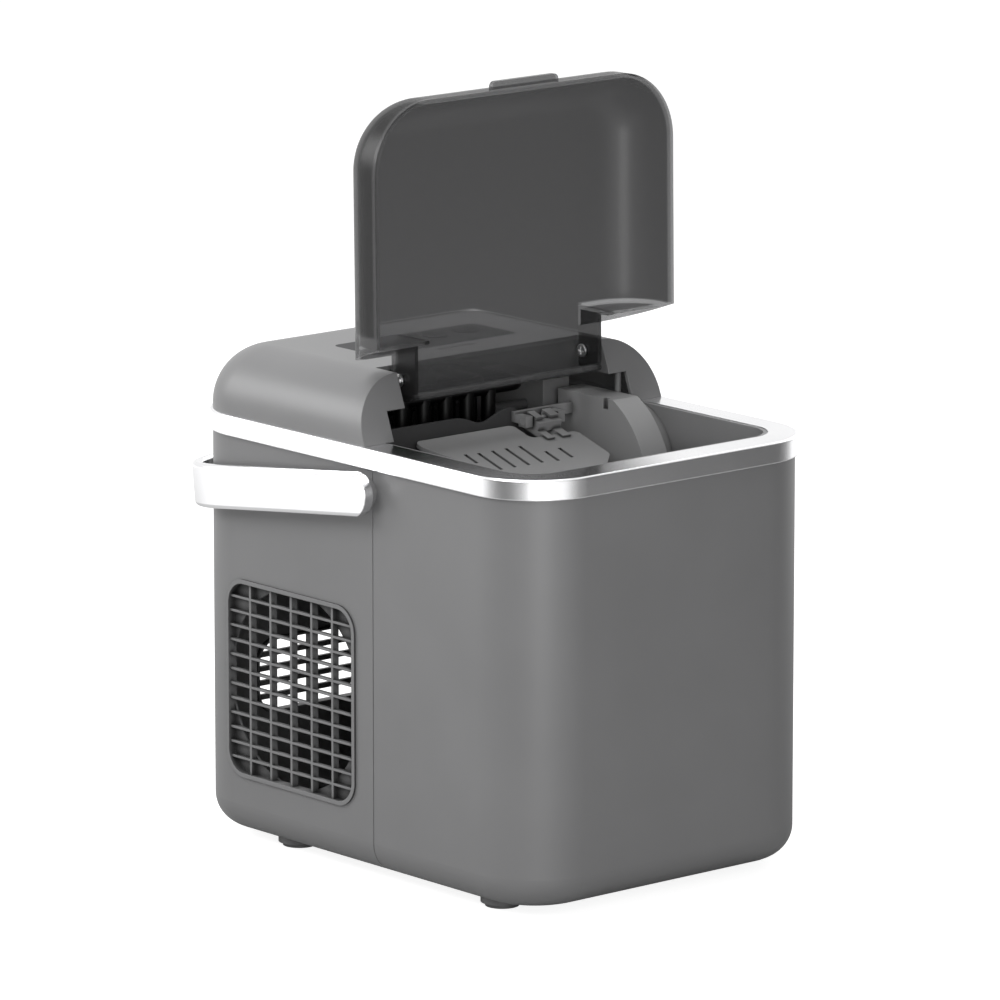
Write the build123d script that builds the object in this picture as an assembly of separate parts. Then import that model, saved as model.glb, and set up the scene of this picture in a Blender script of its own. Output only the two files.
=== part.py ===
"""Countertop ice maker with a hinged smoked lid, a bail handle and a tilting water tray.

Millimetres, +Z up, +Y to the back, +X to the right seen from the front.
The pieces are drawn about the middle of the housing and moved along Y when
they are written, so that the origin lies under the middle of the whole part.
"""
import math
import os

from build123d import *

# Driving dimensions of the housing
RING_WIDTH = 222.0
RING_DEPTH = 300.4
RING_RADIUS = 42.7
RING_BOTTOM = 235.6
RING_TOP = 247.1
BODY_INSET = 1.8
BODY_BOTTOM = 6.0
BODY_EDGE = 18.0
WALL = 2.5
SEAM_Y = -18.4
SEAM_GAP = 0.6

HALF_W = RING_WIDTH / 2 - BODY_INSET
HALF_D = RING_DEPTH / 2 - BODY_INSET
BODY_RADIUS = RING_RADIUS - BODY_INSET

# Mouth of the ice bin inside the trim ring
MOUTH_HALF_W = 94.0
MOUTH_FRONT = -131.0
MOUTH_BACK = 135.0
MOUTH_RADIUS = 22.0

# Rear top cover
COVER_TOP = 282.5
COVER_EDGE = 33.0
COVER_FRONT_LOW = -11.5
COVER_FRONT_SLOPE = 0.37
OPENING_HALF_W = 88.0
OPENING_TOP = 263.5
RECESS_HALF_W = 75.0
RECESS_BACK = 20.0

# Lid, drawn shut and then swung open about its hinge
HINGE_Y = 6.5
HINGE_Z = 276.6
LID_OPEN_DEG = 90.8
LID_HALF_W = 109.0
LID_FRONT = -153.7
LID_TOP = 283.8
LID_RIM = 247.6
LID_CORNER = 39.5
LID_EDGE = 27.7
LID_BACK_TOP = -6.4
LID_BACK_RIM = -18.7
EAR_INNER = 66.0
EAR_OUTER = 68.5
PIN_RADIUS = 2.5
RUN_CLEAR = 0.05

# Bail handle, drawn level and then dropped about its pivots
HANDLE_PIVOT_Y = -13.5
HANDLE_PIVOT_Z = 222.3
HANDLE_DROOP_DEG = 7.1
HANDLE_HALF_W = 121.0
HANDLE_THICK = 6.0
HANDLE_HEIGHT = 25.0
HANDLE_REACH = 173.5
HANDLE_CORNER = 52.0
HANDLE_EDGE = 2.4
HANDLE_PIN_RADIUS = 4.0

# Vents
VENT_Y = 53.5
VENT_Z = 97.5
VENT_WIDTH = 111.0
VENT_HEIGHT = 112.0
VENT_RADIUS = 14.0
REAR_VENT_Z = 81.5
REAR_VENT_WIDTH = 120.0
REAR_VENT_HEIGHT = 44.0

# Ice chamber
LINER_SHELF = 168.0
LINER_FLOOR = 62.0
LINER_SPLIT_Y = -24.0
LINER_BACK = 88.0
TRAY_Y = 50.0
TRAY_Z = 240.0
TRAY_RADIUS = 24.0
TRAY_LEFT = -58.0
TRAY_RIGHT = 36.0
SHAFT_RADIUS = 3.0
DRIVE_LEFT = 65.0
DRIVE_RIGHT = 83.5
DRIVE_TOP = 252.0
DRIVE_BACK = 27.0
LEDGE_TOP = 247.4
SHOVEL_PIN_Y = 8.0
SHOVEL_PIN_Z = 241.0
SHOVEL_PIN_RADIUS = 2.0
SHOVEL_TILT_DEG = 17.0

# Keys on the control panel
KEY_X = (-33.9, -11.3, 11.3, 33.9)
KEY_Y = 71.0
KEY_RADIUS = 7.4
KEY_GAP = 0.35
PANEL_THICK = 0.8

# The origin lies under the middle of the part, measured with the handle at rest
HANDLE_BACK = (
    HANDLE_PIVOT_Y
    + (HANDLE_REACH - HANDLE_EDGE) * math.cos(math.radians(HANDLE_DROOP_DEG))
    + (HANDLE_HEIGHT / 2 - HANDLE_EDGE) * math.sin(math.radians(HANDLE_DROOP_DEG))
    + HANDLE_EDGE
)
MIDDLE_Y = (HANDLE_BACK - RING_DEPTH / 2) / 2

# Longer than any piece, for cuts that go right through
far = 400.0

os.makedirs("parts", exist_ok=True)


def write(name, solid):
    """Save one piece, moved so that the origin is under the middle of the part."""
    export_step(Pos(0, -MIDDLE_Y, 0) * solid, "parts/" + name + ".step")


def block(x0, x1, y0, y1, z0, z1):
    """A box between two corners."""
    middle = ((x0 + x1) / 2, (y0 + y1) / 2, (z0 + z1) / 2)
    return Pos(*middle) * Box(x1 - x0, y1 - y0, z1 - z0)


def rounded_block(half_w, y0, y1, radius, z0, z1):
    """An upright block whose four upright edges are rounded."""
    outline = RectangleRounded(2 * half_w, y1 - y0, radius)
    return Pos(0, (y0 + y1) / 2, z0) * extrude(outline, z1 - z0)


def rod(x0, x1, y, z, radius):
    """A round bar along X."""
    return Pos((x0 + x1) / 2, y, z) * Rot(0, 90, 0) * Cylinder(radius, x1 - x0)


def post(x, y, z0, z1, radius):
    """A round bar along Z."""
    return Pos(x, y, (z0 + z1) / 2) * Cylinder(radius, z1 - z0)


def side_profile(points, x0, x1):
    """A flat outline of (y, z) points carried along X from x0 to x1."""
    outline = make_face(Polyline(*[(y, z) for y, z in points], close=True))
    return Plane(origin=(x0, 0, 0), x_dir=(0, 1, 0), z_dir=(1, 0, 0)) * extrude(outline, x1 - x0)


def both_sides(solid):
    """A piece and its mirror image across the middle plane."""
    return solid + mirror(solid, Plane.YZ)


# Housing shells: one moulded tub, split across by a seam
def housing_tub(inset):
    """The housing's form, drawn in by an inset, with its rounded bottom edge."""
    open_top = 1.0
    top = RING_BOTTOM if inset == 0 else RING_BOTTOM + open_top
    tub = rounded_block(
        HALF_W - inset, -HALF_D + inset, HALF_D - inset, BODY_RADIUS - inset, BODY_BOTTOM + inset, top
    )
    return fillet(tub.edges().group_by(Axis.Z)[0], BODY_EDGE - inset)


def seam_lip():
    """The inner lip on the rear shell, which the front shell slides over."""
    lip_wall = 1.4
    lip_gap = 0.3
    lip_back = SEAM_Y + 8
    lip_front = SEAM_Y - 7
    root = housing_tub(WALL) - housing_tub(WALL + lip_gap + lip_wall)
    tongue = housing_tub(WALL + lip_gap) - housing_tub(WALL + lip_gap + lip_wall)
    wide = 2 * HALF_W
    root = root & block(-wide, wide, SEAM_Y + SEAM_GAP / 2, lip_back, 0, RING_BOTTOM)
    return root + (tongue & block(-wide, wide, lip_front, lip_back, 0, RING_BOTTOM))


def vent_hole(plane, width, height):
    """The cut in the housing that a vent insert drops into."""
    slack = 0.2
    outline = RectangleRounded(width + 2 * slack, height + 2 * slack, VENT_RADIUS)
    return plane * Pos(0, 0, -2 * WALL) * extrude(outline, 4 * WALL)


LEFT_VENT = Plane(origin=(-HALF_W, VENT_Y, VENT_Z), x_dir=(0, -1, 0), z_dir=(-1, 0, 0))
RIGHT_VENT = Plane(origin=(HALF_W, VENT_Y, VENT_Z), x_dir=(0, 1, 0), z_dir=(1, 0, 0))
REAR_VENT = Plane(origin=(0, HALF_D, REAR_VENT_Z), x_dir=(-1, 0, 0), z_dir=(0, 1, 0))
GLAND_X = 72.0
GLAND_Z = 34.0
GLAND_RADIUS = 8.0
DRAIN_Y = -92.0
DRAIN_RADIUS = 10.0

tub = housing_tub(0) - housing_tub(WALL)
front_shell = tub & block(-far, far, -far, SEAM_Y - SEAM_GAP / 2, 0, far)
front_shell -= post(0, DRAIN_Y, 0, BODY_BOTTOM + 2 * WALL, DRAIN_RADIUS)
rear_shell = (tub & block(-far, far, SEAM_Y + SEAM_GAP / 2, far, 0, far)) + seam_lip()
rear_shell -= vent_hole(LEFT_VENT, VENT_WIDTH, VENT_HEIGHT)
rear_shell -= vent_hole(RIGHT_VENT, VENT_WIDTH, VENT_HEIGHT)
rear_shell -= vent_hole(REAR_VENT, REAR_VENT_WIDTH, REAR_VENT_HEIGHT)
rear_shell -= Pos(GLAND_X, HALF_D, GLAND_Z) * Rot(90, 0, 0) * Cylinder(GLAND_RADIUS, 4 * WALL)
write("front_shell", front_shell)
write("rear_shell", rear_shell)


# Vent inserts: a rounded frame with a proud bead, crossed bars and corner plates
def vent_insert(width, height, columns, rows, bar, slat, hole_radius):
    """A vent grille in its own plane, with its outer face at zero and its depth below."""
    frame_wall = 1.3
    bead = 1.2
    depth = 4.8
    bar_depth = 4.2
    slat_depth = 2.4
    corner_plate = 1.4
    full = RectangleRounded(width, height, VENT_RADIUS)
    clear = RectangleRounded(width - 2 * frame_wall, height - 2 * frame_wall, VENT_RADIUS - frame_wall)
    rim = RectangleRounded(width + 2 * bead, height + 2 * bead, VENT_RADIUS + bead)
    insert = Pos(0, 0, -depth) * extrude(full - clear, depth)
    insert += extrude(rim - clear, bead)
    inner_w = width - 2 * frame_wall
    inner_h = height - 2 * frame_wall
    bars = [
        Pos((index / columns - 0.5) * inner_w, 0, -bar_depth / 2) * Box(bar, inner_h, bar_depth)
        for index in range(1, columns)
    ]
    slats = [
        Pos(0, (index / rows - 0.5) * inner_h, -slat_depth / 2) * Box(inner_w, slat, slat_depth)
        for index in range(1, rows)
    ]
    grid = bars[0] + bars[1:] + slats
    insert += grid & (Pos(0, 0, -depth) * extrude(full, 2 * depth))
    if hole_radius:
        plate = Pos(0, 0, -depth) * extrude(full, corner_plate)
        insert += plate - Pos(0, 0, -depth) * Cylinder(hole_radius, 4 * corner_plate)
    return insert


side_vent = vent_insert(VENT_WIDTH, VENT_HEIGHT, 6, 13, 1.7, 1.4, 56.5)
write("left_grille", LEFT_VENT * side_vent)
write("right_grille", RIGHT_VENT * side_vent)
write("rear_grille", REAR_VENT * vent_insert(REAR_VENT_WIDTH, REAR_VENT_HEIGHT, 3, 5, 3.0, 3.0, 0))

# Chrome trim ring: a hollow frame round the top of the housing
ring_wall = 3.0
ring_edge = 1.6
ring_outer = rounded_block(
    RING_WIDTH / 2, -RING_DEPTH / 2, RING_DEPTH / 2, RING_RADIUS, RING_BOTTOM, RING_TOP
)
ring_outer = fillet(ring_outer.edges().group_by(Axis.Z)[-1], ring_edge)
ring_mouth = rounded_block(MOUTH_HALF_W, MOUTH_FRONT, MOUTH_BACK, MOUTH_RADIUS, 0, far)
ring_groove = rounded_block(
    RING_WIDTH / 2 - ring_wall,
    -RING_DEPTH / 2 + ring_wall,
    RING_DEPTH / 2 - ring_wall,
    RING_RADIUS - ring_wall,
    RING_BOTTOM,
    RING_TOP - ring_wall,
) - rounded_block(
    MOUTH_HALF_W + ring_wall,
    MOUTH_FRONT - ring_wall,
    MOUTH_BACK + ring_wall,
    MOUTH_RADIUS + ring_wall,
    0,
    far,
)
write("trim_ring", ring_outer - ring_mouth - ring_groove)


# Rear top cover: a thin shell with a slanted open front and a recess for the lid's tongue
def cover_form(inset):
    """The cover's rounded form, drawn in by an inset."""
    form = rounded_block(
        HALF_W - inset, -HALF_D, HALF_D - inset, BODY_RADIUS - inset, RING_TOP, COVER_TOP - inset
    )
    top_edges = form.edges().group_by(Axis.Z)[-1]
    form = fillet(top_edges, COVER_EDGE - inset)
    front = COVER_FRONT_LOW + inset
    rise = COVER_TOP - RING_TOP
    cut = [
        (-far, RING_TOP - rise),
        (front - COVER_FRONT_SLOPE * rise, RING_TOP - rise),
        (front + COVER_FRONT_SLOPE * 2 * rise, RING_TOP + 2 * rise),
        (-far, RING_TOP + 2 * rise),
    ]
    return form - side_profile(cut, -far, far)


panel_y0 = 46.0
panel_y1 = 86.0
panel_half_w = 52.0
panel_corner = 5.0
board_z = 273.0
board_thick = 1.6
board_half_w = 50.0
board_post_in = 4.0
opening_back = 4.0
cheek_front = -20.0
cheek_back = 26.0
skin = 0.5
top_cover = cover_form(0) - cover_form(WALL)
top_cover -= block(-OPENING_HALF_W, OPENING_HALF_W, -far, opening_back, 0, OPENING_TOP)
top_cover -= block(-RECESS_HALF_W, RECESS_HALF_W, -far, RECESS_BACK, OPENING_TOP - 1, far)
recess_cheek = block(RECESS_HALF_W, RECESS_HALF_W + WALL, cheek_front, cheek_back, OPENING_TOP, COVER_TOP)
top_cover += both_sides(recess_cheek & cover_form(skin))
screw_post = post(86.0, -0.5, LEDGE_TOP + 0.2, COVER_TOP, 1.9)
top_cover += both_sides(screw_post & cover_form(skin))
board_posts = [
    post(x, y, board_z + board_thick, COVER_TOP - WALL / 2, 2.5)
    for x in (-board_half_w + board_post_in, board_half_w - board_post_in)
    for y in (panel_y0 + board_post_in, panel_y1 - board_post_in)
]
top_cover += board_posts
panel_plate = rounded_block(
    panel_half_w, panel_y0, panel_y1, panel_corner, COVER_TOP - PANEL_THICK, COVER_TOP
)
key_holes = [post(x, KEY_Y, board_z, far, KEY_RADIUS + KEY_GAP) for x in KEY_X]
top_cover -= panel_plate
top_cover -= key_holes
buzzer_count = 10
buzzer_pitch = 2.7
buzzer_half_w = 0.6
buzzer_slots = [
    block(x - buzzer_half_w, x + buzzer_half_w, 36.5, 41.0, COVER_TOP - 2 * WALL, far)
    for x in [buzzer_pitch * (index - (buzzer_count - 1) / 2) for index in range(buzzer_count)]
]
top_cover -= buzzer_slots
lid_pin_hole = rod(EAR_OUTER, RECESS_HALF_W + 2 * WALL, HINGE_Y, HINGE_Z, PIN_RADIUS)
top_cover -= both_sides(lid_pin_hole)
write("top_cover", top_cover)
write("control_panel", panel_plate - key_holes)

# Four keys in the panel, each over a switch on the control board
key_proud = 0.3
key_depth = 3.2
key_edge = 0.5
for number, x in enumerate(KEY_X, start=1):
    key = post(x, KEY_Y, COVER_TOP - key_depth, COVER_TOP + key_proud, KEY_RADIUS)
    key = fillet(key.edges().group_by(Axis.Z)[-1], key_edge)
    write(f"key_{number}", key)
switch_half = 3.0
switch_top = COVER_TOP - key_depth - 1.1
control_board = block(-board_half_w, board_half_w, panel_y0, panel_y1, board_z, board_z + board_thick)
control_board += [
    block(x - switch_half, x + switch_half, KEY_Y - switch_half, KEY_Y + switch_half, board_z, switch_top)
    for x in KEY_X
]
socket_half_w = 12.0
socket_depth = 6.0
socket_front = panel_y1 - 10
socket_low = board_z - socket_depth
control_board += block(-socket_half_w, socket_half_w, socket_front, panel_y1, socket_low, board_z)
write("control_board", control_board)


# Smoked lid: a clear shell with a slanted back edge, a back wall and a hinge tongue
def lid_form(inset):
    """The lid's form when shut, drawn in by an inset, open at the rim and the back."""
    half_w = LID_HALF_W - inset
    front = LID_FRONT + inset
    form = rounded_block(half_w, front, -front, LID_CORNER - inset, LID_RIM - inset, LID_TOP - inset)
    form = fillet(form.edges().group_by(Axis.Z)[-1], LID_EDGE - inset)
    slope = (LID_BACK_TOP - LID_BACK_RIM) / (LID_TOP - LID_RIM)
    reach = 20.0
    cut = [
        (LID_BACK_RIM - slope * reach, LID_RIM - reach),
        (far, LID_RIM - reach),
        (far, LID_TOP + reach),
        (LID_BACK_TOP + slope * reach, LID_TOP + reach),
    ]
    return form - side_profile(cut, -far, far)


lid_wall = 2.5
back_wall_y = -16.0
back_wall_low = LID_RIM + 6.4
lid_skin = 0.4
ear_low = 263.8
ear_radius = 9.25
ear_mid_z = ear_low + ear_radius
ear_mid_y = 9.2
plate_back = 17.2
bar_radius = 2.0
bar_y = ear_mid_y + 5.55
tab_half_w = 24.0
tab_reach = 5.0
tab_thick = 3.0
lid = lid_form(0) - lid_form(lid_wall)
back_wall = block(EAR_INNER, far, back_wall_y - lid_wall, back_wall_y, back_wall_low, far)
back_wall = back_wall & lid_form(lid_skin)
ear = block(EAR_INNER, EAR_OUTER, back_wall_y - 1, ear_mid_y, ear_low, ear_low + 2 * ear_radius)
ear += rod(EAR_INNER, EAR_OUTER, ear_mid_y, ear_mid_z, ear_radius)
lid += both_sides(back_wall + ear)
lid += block(-EAR_OUTER, EAR_OUTER, back_wall_y, plate_back, LID_TOP - lid_wall, LID_TOP)
lid += rod(-EAR_OUTER, EAR_OUTER, bar_y, ear_low + bar_radius, bar_radius)
tab_front = LID_FRONT - tab_reach
tab_back = LID_FRONT + lid_wall
tab = block(-tab_half_w, tab_half_w, tab_front, tab_back, LID_RIM, LID_RIM + tab_thick)
tab = fillet(tab.edges().filter_by(Axis.Z).group_by(Axis.Y)[0], tab_thick)
lid += tab
lid -= both_sides(rod(EAR_INNER - 1, EAR_OUTER + 1, HINGE_Y, HINGE_Z, PIN_RADIUS + RUN_CLEAR))
hinge_line = Axis((0, HINGE_Y, HINGE_Z), (1, 0, 0))
write("lid", lid.rotate(hinge_line, -LID_OPEN_DEG))
pin_head = PIN_RADIUS + 1.2
head_gap = 0.4
head_thick = 1.2
head_end = EAR_INNER - head_gap - head_thick
washer_start = EAR_OUTER + head_gap
lid_pin = rod(head_end, RECESS_HALF_W + WALL, HINGE_Y, HINGE_Z, PIN_RADIUS)
lid_pin += rod(head_end, EAR_INNER - head_gap, HINGE_Y, HINGE_Z, pin_head)
lid_pin += rod(washer_start, washer_start + head_thick, HINGE_Y, HINGE_Z, pin_head)
driver_long = 2.3
driver_half = 0.5
driver_floor = head_end + 0.8
for half_y, half_z in ((driver_long, driver_half), (driver_half, driver_long)):
    lid_pin -= block(
        0,
        driver_floor,
        HINGE_Y - half_y,
        HINGE_Y + half_y,
        HINGE_Z - half_z,
        HINGE_Z + half_z,
    )
write("lid_pins", both_sides(lid_pin))

# Bail handle: a chrome band with soft edges round the back, on two pivots at the sides
arm_x = HANDLE_HALF_W - HANDLE_THICK
band_x = HANDLE_HALF_W - HANDLE_THICK / 2
band_back = HANDLE_REACH - HANDLE_THICK / 2
band_end = -HANDLE_HEIGHT
band_path = FilletPolyline(
    (-band_x, band_end, 0),
    (-band_x, band_back, 0),
    (band_x, band_back, 0),
    (band_x, band_end, 0),
    radius=HANDLE_CORNER - HANDLE_THICK / 2,
)
band_start = Plane(origin=band_path @ 0, x_dir=(1, 0, 0), z_dir=band_path % 0)
band_section = RectangleRounded(HANDLE_THICK, HANDLE_HEIGHT, HANDLE_EDGE)
handle = sweep(band_start * band_section, path=band_path)
end_round = block(-far, far, 0, far, -HANDLE_HEIGHT, HANDLE_HEIGHT) + rod(-far, far, 0, 0, HANDLE_HEIGHT / 2)
handle = handle & end_round
pin_depth = 4.0
pin_bore = rod(arm_x - 1, arm_x + pin_depth, 0, 0, HANDLE_PIN_RADIUS + RUN_CLEAR)
handle -= both_sides(pin_bore)
handle = Pos(0, HANDLE_PIVOT_Y, HANDLE_PIVOT_Z) * handle
pivot_line = Axis((0, HANDLE_PIVOT_Y, HANDLE_PIVOT_Z), (1, 0, 0))
write("handle", handle.rotate(pivot_line, -HANDLE_DROOP_DEG))
pivot_gap = 0.5
pivot_boss = 8.5
pivot = rod(HALF_W, arm_x - pivot_gap, HANDLE_PIVOT_Y, HANDLE_PIVOT_Z, pivot_boss)
pivot += rod(HALF_W, arm_x + pin_depth - pivot_gap, HANDLE_PIVOT_Y, HANDLE_PIVOT_Z, HANDLE_PIN_RADIUS)
write("handle_pivots", both_sides(pivot))

# Feet under the housing: a moulded boss with a rubber pad, four alike
pad_height = 2.2
pad_radius = 9.5
boss_radius = 12.0
foot_places = [(x, y) for x in (-82.0, 82.0) for y in (-96.0, 80.0)]
feet = [
    post(x, y, pad_height, BODY_BOTTOM, boss_radius) + post(x, y, 0, pad_height, pad_radius)
    for x, y in foot_places
]
write("feet", feet[0] + feet[1:])

# Base plate in the machine space
BASE_LOW = BODY_BOTTOM + WALL
BASE_TOP = BASE_LOW + 2.0
base_half_w = 84.0
base_front = -8.0
base_back = 124.0
base_corner = 12.0
write("base_plate", rounded_block(base_half_w, base_front, base_back, base_corner, BASE_LOW, BASE_TOP))

# Inner liner: a deep ice bin at the front and a shelf behind it, with a flange and a collar in the ring
liner_half_w = 91.5
liner_front = -128.5
liner_corner = 20.0


def liner_form(inset, top):
    """The bin and the shelf together, grown by an inset and carried up to a top."""
    half_w = liner_half_w + inset
    radius = liner_corner + inset
    front = liner_front - inset
    shelf = rounded_block(half_w, front, LINER_BACK + inset, radius, LINER_SHELF - inset, top)
    bin_space = rounded_block(half_w, front, LINER_SPLIT_Y + inset, radius, LINER_FLOOR - inset, top)
    return shelf + bin_space


liner = liner_form(WALL, RING_BOTTOM)
flange_half_w = 104.0
flange_front = -140.0
flange_back = LINER_BACK + 10
flange_corner = 32.0
liner += rounded_block(
    flange_half_w, flange_front, flange_back, flange_corner, RING_BOTTOM - WALL, RING_BOTTOM
)
collar_gap = 0.2
collar_top = RING_TOP - 0.4
liner += rounded_block(
    MOUTH_HALF_W - collar_gap,
    MOUTH_FRONT + collar_gap,
    LINER_BACK + WALL - collar_gap,
    MOUTH_RADIUS - collar_gap,
    RING_BOTTOM - WALL,
    collar_top,
)
liner -= liner_form(0, far)
drain_bore = 4.0
liner -= post(0, DRAIN_Y, LINER_FLOOR - 2 * WALL, LINER_FLOOR + WALL, drain_bore)
write("inner_liner", liner)
drain_wall = 2.0
drain_tube = post(0, DRAIN_Y, BASE_LOW, LINER_FLOOR - WALL, drain_bore + drain_wall)
drain_tube -= post(0, DRAIN_Y, BASE_LOW, LINER_FLOOR - WALL, drain_bore)
write("drain_tube", drain_tube)
plug_low = 3.2
coin_slot_half = 7.0
coin_slot_top = plug_low + 1.4
drain_plug = post(0, DRAIN_Y, plug_low, BASE_LOW, DRAIN_RADIUS - 0.3)
drain_plug -= block(-coin_slot_half, coin_slot_half, DRAIN_Y - 1, DRAIN_Y + 1, 0, coin_slot_top)
write("drain_plug", drain_plug)

# Drive housing on the right of the chamber, with a bowed front and a ledge beside it
drive_wall = 2.4
drive_nose = -46.0
drive_low = 196.0
bow_low = 222.0
bow_top_y = -20.0
bow_mid_y = -35.6
bow_mid_z = 239.4


def bowed_block(x0, x1, set_back, top):
    """A block along X with the drive housing's bowed front, set back by a distance."""
    nose = drive_nose + set_back
    face = make_face(
        [
            Line((nose, drive_low), (nose, bow_low)),
            ThreePointArc((nose, bow_low), (bow_mid_y + set_back, bow_mid_z), (bow_top_y + set_back, top)),
            Line((bow_top_y + set_back, top), (DRIVE_BACK, top)),
            Line((DRIVE_BACK, top), (DRIVE_BACK, LINER_SHELF)),
            Line((DRIVE_BACK, LINER_SHELF), (LINER_SPLIT_Y + 2, LINER_SHELF)),
            Line((LINER_SPLIT_Y + 2, LINER_SHELF), (nose, drive_low)),
        ]
    )
    return Plane(origin=(x0, 0, 0), x_dir=(0, 1, 0), z_dir=(1, 0, 0)) * extrude(face, x1 - x0)


shoulder_right = liner_half_w - 0.2
shoulder_back = 5.0
shoulder_top = RING_TOP - 0.4
drive_housing = bowed_block(DRIVE_LEFT, DRIVE_RIGHT, 0, DRIVE_TOP)
drive_housing += bowed_block(DRIVE_RIGHT - 1, shoulder_right, shoulder_back, shoulder_top)
ledge_right = OPENING_HALF_W - 0.4
ledge_low = LEDGE_TOP - 8
ledge_front = bow_top_y + shoulder_back
drive_housing += block(DRIVE_RIGHT - 1, ledge_right, ledge_front, DRIVE_BACK, ledge_low, LEDGE_TOP)
prong_places = [(22, 27), (46, 51)]
prong_half = 3.2
bracket_y0 = SHOVEL_PIN_Y + 6.4
bracket_y1 = bracket_y0 + 3
bracket_low = SHOVEL_PIN_Z - 1.5
bracket_top = SHOVEL_PIN_Z + 4.5
pin_left = prong_places[0][0]
pin_right = prong_places[1][1]
drive_housing += block(pin_left, DRIVE_LEFT + 1, bracket_y0, bracket_y1, bracket_low, bracket_top)
for x0, x1 in prong_places:
    drive_housing += block(x0, x1, SHOVEL_PIN_Y, bracket_y1, bracket_low, SHOVEL_PIN_Z + prong_half)
    drive_housing += block(
        x0,
        x1,
        SHOVEL_PIN_Y - prong_half,
        SHOVEL_PIN_Y + prong_half,
        SHOVEL_PIN_Z - prong_half,
        SHOVEL_PIN_Z + prong_half,
    )
drive_housing -= block(
    DRIVE_LEFT + drive_wall,
    DRIVE_RIGHT - drive_wall,
    bow_top_y + 6,
    DRIVE_BACK - drive_wall,
    LINER_SHELF,
    DRIVE_TOP - drive_wall,
)
notch_y0 = bow_top_y + 4
notch_y1 = notch_y0 + 4
notch_x1 = DRIVE_LEFT + 2.2
notch_low = DRIVE_TOP - 6
drive_housing -= block(DRIVE_LEFT - 1, notch_x1, notch_y0, notch_y1, notch_low, DRIVE_TOP + 1)
drive_housing -= rod(pin_left, pin_right, SHOVEL_PIN_Y, SHOVEL_PIN_Z, SHOVEL_PIN_RADIUS)
write("drive_housing", drive_housing)

# Gear motor of the tray, behind the drive housing, with a socket for the tray's shaft
motor_left = 60.0
motor_right = DRIVE_RIGHT - 4
motor_top = TRAY_Z + 16
shaft_end = motor_left + 7
motor_front = DRIVE_BACK + 7
motor_back = LINER_BACK - 2
tray_motor = block(motor_left, motor_right, motor_front, motor_back, LINER_SHELF, motor_top)
tray_motor -= rod(motor_left - 1, shaft_end + 1, TRAY_Y, TRAY_Z, SHAFT_RADIUS + RUN_CLEAR)
write("tray_motor", tray_motor)

# Water tray: a half round trough on a shaft, tipped by the gear motor
tray_wall = 2.0
trough = rod(TRAY_LEFT, TRAY_RIGHT, TRAY_Y, TRAY_Z, TRAY_RADIUS + tray_wall)
trough -= rod(TRAY_LEFT - 1, TRAY_RIGHT + 1, TRAY_Y, TRAY_Z, TRAY_RADIUS)
below_axis = block(-far, far, -far, far, 0, TRAY_Z)
end_drop = 8.0
end_tab = 5.0
tray_ends = (TRAY_LEFT, TRAY_RIGHT - tray_wall)
end_discs = [
    rod(x, x + tray_wall, TRAY_Y, TRAY_Z, TRAY_RADIUS + tray_wall)
    & block(-far, far, -far, far, 0, TRAY_Z - end_drop)
    for x in tray_ends
]
end_tabs = [
    block(x, x + tray_wall, TRAY_Y - end_tab, TRAY_Y + end_tab, TRAY_Z - 1.5 * end_drop, TRAY_Z)
    + rod(x, x + tray_wall, TRAY_Y, TRAY_Z, end_tab)
    for x in tray_ends
]
water_tray = (trough & below_axis) + end_discs + end_tabs
water_tray += rod(TRAY_RIGHT - tray_wall, shaft_end, TRAY_Y, TRAY_Z, SHAFT_RADIUS)
water_tray += rod(TRAY_LEFT - 9, TRAY_LEFT + tray_wall, TRAY_Y, TRAY_Z, SHAFT_RADIUS)
write("water_tray", water_tray)
bearing_half = 8.0
bearing_gap = 3.0
bearing_drop = 30.0
bearing = block(
    -liner_half_w,
    TRAY_LEFT - bearing_gap,
    TRAY_Y - bearing_half,
    TRAY_Y + bearing_half,
    TRAY_Z - bearing_drop,
    TRAY_Z + bearing_half,
)
bearing -= rod(-liner_half_w - 1, TRAY_LEFT, TRAY_Y, TRAY_Z, SHAFT_RADIUS + RUN_CLEAR)
write("tray_bearing", bearing)

# Evaporator: a bent tube with a row of fingers that hang into the tray
tube_radius = 3.5
tube_z = TRAY_Z + 14.5
tube_half_gap = 8.0
tube_left = -42.0
tube_right = 40.0
tube_back = 104.0
tube_low = 150.0
finger_radius = 4.2
finger_length = 23.0
finger_count = 5
finger_pitch = 16.0
finger_x = [tube_left + 4 + finger_pitch * index for index in range(finger_count)]
tube_path = FilletPolyline(
    (tube_right + 10, tube_back, tube_low),
    (tube_right + 10, tube_back, tube_z),
    (tube_right + 10, TRAY_Y - tube_half_gap, tube_z),
    (tube_left - 8, TRAY_Y - tube_half_gap, tube_z),
    (tube_left - 8, TRAY_Y + tube_half_gap, tube_z),
    (tube_right - 4, TRAY_Y + tube_half_gap, tube_z),
    (tube_right - 4, tube_back, tube_z),
    (tube_right - 4, tube_back, tube_low),
    radius=7.0,
)
tube_start = Plane(origin=tube_path @ 0, z_dir=tube_path % 0)
evaporator = sweep(tube_start * Circle(tube_radius), path=tube_path)
for x in finger_x:
    for y in (TRAY_Y - tube_half_gap, TRAY_Y + tube_half_gap):
        finger = post(x, y, tube_z - finger_length, tube_z, finger_radius)
        finger = fillet(finger.edges().group_by(Axis.Z)[0], finger_radius - 0.6)
        evaporator += finger
write("evaporator", evaporator)

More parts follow.
